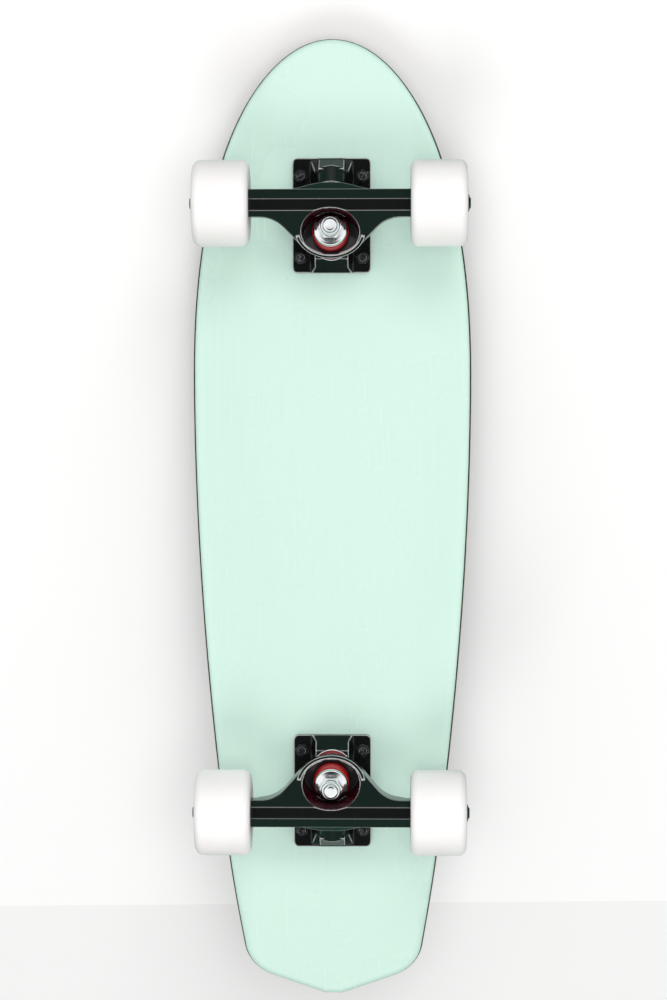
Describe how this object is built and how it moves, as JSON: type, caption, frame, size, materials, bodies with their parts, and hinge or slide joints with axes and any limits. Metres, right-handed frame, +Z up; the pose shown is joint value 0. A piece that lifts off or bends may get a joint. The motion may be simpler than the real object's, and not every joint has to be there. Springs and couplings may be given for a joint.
{
  "type": "skateboard",
  "caption": "Short cruiser skateboard: kicktail maple deck with a mint underside, two black cast trucks with red bushings, and white ball-bearing wheels.",
  "frame": {"origin": "middle of the board's length and width, on the ground under the wheels", "axes": "+X along the board to the nose, +Y across it to the left, +Z up through the riding surface"},
  "size_m": [0.6532, 0.1872, 0.1183],
  "materials": {
    "mint_paint": "satin paint",
    "dyed_maple": "matt",
    "maple": "satin",
    "grip": "gritty",
    "black_steel": "black oxide",
    "black_cast": "gloss",
    "cup_plastic": "smooth",
    "zinc_steel": "bright zinc",
    "red_urethane": "satin",
    "axle_steel": "dark zinc",
    "bearing_steel": "polished",
    "white_urethane": "satin",
    "cage_brass": "satin"
  },
  "bodies": {
    "deck": {"deck_bottom_ply": "mint_paint", "deck_dyed_ply": "dyed_maple", "deck_ply_3": "maple", "deck_ply_4": "maple", "deck_ply_5": "maple", "deck_ply_6": "maple", "deck_top_ply": "maple", "grip_tape": "grip", "mounting_bolts": "black_steel", "mounting_nuts": "black_steel", "front_baseplate": "black_cast", "front_pivot_cup": "cup_plastic", "front_kingpin": "zinc_steel", "front_board_cup_washer": "zinc_steel", "front_board_bushing": "red_urethane", "front_road_bushing": "red_urethane", "front_road_cup_washer": "zinc_steel", "front_kingpin_nut": "zinc_steel", "rear_baseplate": "black_cast", "rear_pivot_cup": "cup_plastic", "rear_kingpin": "zinc_steel", "rear_board_cup_washer": "zinc_steel", "rear_board_bushing": "red_urethane", "rear_road_bushing": "red_urethane", "rear_road_cup_washer": "zinc_steel", "rear_kingpin_nut": "zinc_steel"},
    "front_hanger_set": {"front_hanger": "black_cast", "front_axle": "axle_steel", "front_inner_rings": "bearing_steel", "front_bearing_spacers": "bearing_steel", "front_speed_washers": "bearing_steel", "front_axle_nuts": "axle_steel"},
    "rear_hanger_set": {"rear_hanger": "black_cast", "rear_axle": "axle_steel", "rear_inner_rings": "bearing_steel", "rear_bearing_spacers": "bearing_steel", "rear_speed_washers": "bearing_steel", "rear_axle_nuts": "axle_steel"},
    "wheel_fl_set": {"wheel_fl": "white_urethane", "outer_rings_fl": "bearing_steel", "shields_fl": "bearing_steel"},
    "wheel_fr_set": {"wheel_fr": "white_urethane", "outer_rings_fr": "bearing_steel", "shields_fr": "bearing_steel"},
    "wheel_rl_set": {"wheel_rl": "white_urethane", "outer_rings_rl": "bearing_steel", "shields_rl": "bearing_steel"},
    "wheel_rr_set": {"wheel_rr": "white_urethane", "outer_rings_rr": "bearing_steel", "shields_rr": "bearing_steel"},
    "cage_fl_set": {"balls_fl": "bearing_steel", "cages_fl": "cage_brass"},
    "cage_fr_set": {"balls_fr": "bearing_steel", "cages_fr": "cage_brass"},
    "cage_rl_set": {"balls_rl": "bearing_steel", "cages_rl": "cage_brass"},
    "cage_rr_set": {"balls_rr": "bearing_steel", "cages_rr": "cage_brass"}
  },
  "joints": [
    {"name": "front_steer", "type": "hinge", "parent": "deck", "child": "front_hanger_set", "pos_m": [0.19436, 0, 0.04978], "axis": [0.8745, 0, 0.4851], "range_deg": [-12, 12], "stiffness_Nm_per_rad": 60, "deforming": ["front_board_bushing", "front_road_bushing"]},
    {"name": "rear_steer", "type": "hinge", "parent": "deck", "child": "rear_hanger_set", "pos_m": [-0.16476, 0, 0.04978], "axis": [-0.8745, 0, 0.4851], "range_deg": [-12, 12], "stiffness_Nm_per_rad": 60, "deforming": ["rear_board_bushing", "rear_road_bushing"]},
    {"name": "wheel_fl_spin", "type": "hinge", "parent": "front_hanger_set", "child": "wheel_fl_set", "pos_m": [0.214, 0.0705, 0.028], "axis": [0, 1, 0], "continuous": true},
    {"name": "wheel_fr_spin", "type": "hinge", "parent": "front_hanger_set", "child": "wheel_fr_set", "pos_m": [0.214, -0.0705, 0.028], "axis": [0, 1, 0], "continuous": true},
    {"name": "wheel_rl_spin", "type": "hinge", "parent": "rear_hanger_set", "child": "wheel_rl_set", "pos_m": [-0.1844, 0.0705, 0.028], "axis": [0, 1, 0], "continuous": true},
    {"name": "wheel_rr_spin", "type": "hinge", "parent": "rear_hanger_set", "child": "wheel_rr_set", "pos_m": [-0.1844, -0.0705, 0.028], "axis": [0, 1, 0], "continuous": true},
    {"name": "cage_fl_spin", "type": "hinge", "parent": "front_hanger_set", "child": "cage_fl_set", "pos_m": [0.214, 0.0705, 0.028], "axis": [0, 1, 0], "continuous": true},
    {"name": "cage_fr_spin", "type": "hinge", "parent": "front_hanger_set", "child": "cage_fr_set", "pos_m": [0.214, -0.0705, 0.028], "axis": [0, 1, 0], "continuous": true},
    {"name": "cage_rl_spin", "type": "hinge", "parent": "rear_hanger_set", "child": "cage_rl_set", "pos_m": [-0.1844, 0.0705, 0.028], "axis": [0, 1, 0], "continuous": true},
    {"name": "cage_rr_spin", "type": "hinge", "parent": "rear_hanger_set", "child": "cage_rr_set", "pos_m": [-0.1844, -0.0705, 0.028], "axis": [0, 1, 0], "continuous": true}
  ],
  "couplings": [
    {"joint": "cage_fl_spin", "follows": "wheel_fl_spin", "ratio": 0.6323},
    {"joint": "cage_fr_spin", "follows": "wheel_fr_spin", "ratio": 0.6323},
    {"joint": "cage_rl_spin", "follows": "wheel_rl_spin", "ratio": 0.6323},
    {"joint": "cage_rr_spin", "follows": "wheel_rr_spin", "ratio": 0.6323}
  ]
}
